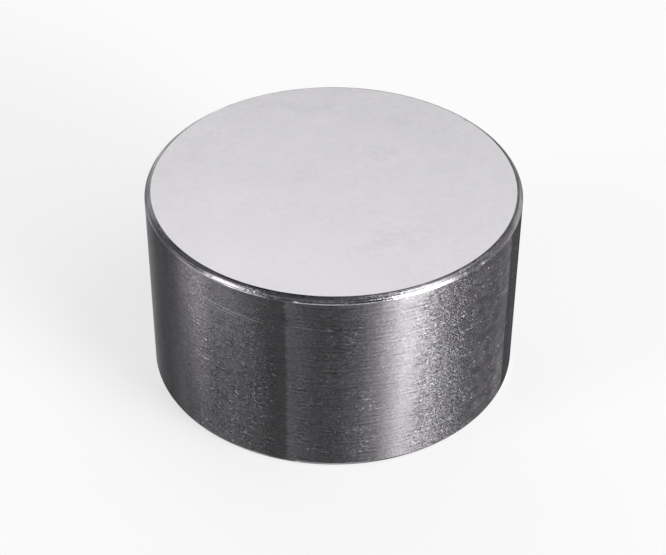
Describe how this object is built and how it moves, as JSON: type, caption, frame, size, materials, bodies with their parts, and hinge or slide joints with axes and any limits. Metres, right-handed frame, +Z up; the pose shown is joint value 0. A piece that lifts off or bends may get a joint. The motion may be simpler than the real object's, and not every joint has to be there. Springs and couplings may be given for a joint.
{
  "type": "disc magnet",
  "caption": "Solid nickel-plated disc magnet with flat pole faces and a small crowned edge break, for holding steel parts or as a pole in a fixture.",
  "frame": {"origin": "centre of the lower pole face", "axes": "+Z up the disc's axis, from the lower pole face to the upper one; X and Y lie in the lower pole face and are interchangeable"},
  "size_m": [0.045, 0.045, 0.025],
  "materials": {
    "nickel_plating": "bright nickel plating, smooth and faintly mottled on the pole faces, ground and darker round the wall"
  },
  "bodies": {
    "root": {"magnet": "nickel_plating"}
  },
  "joints": []
}
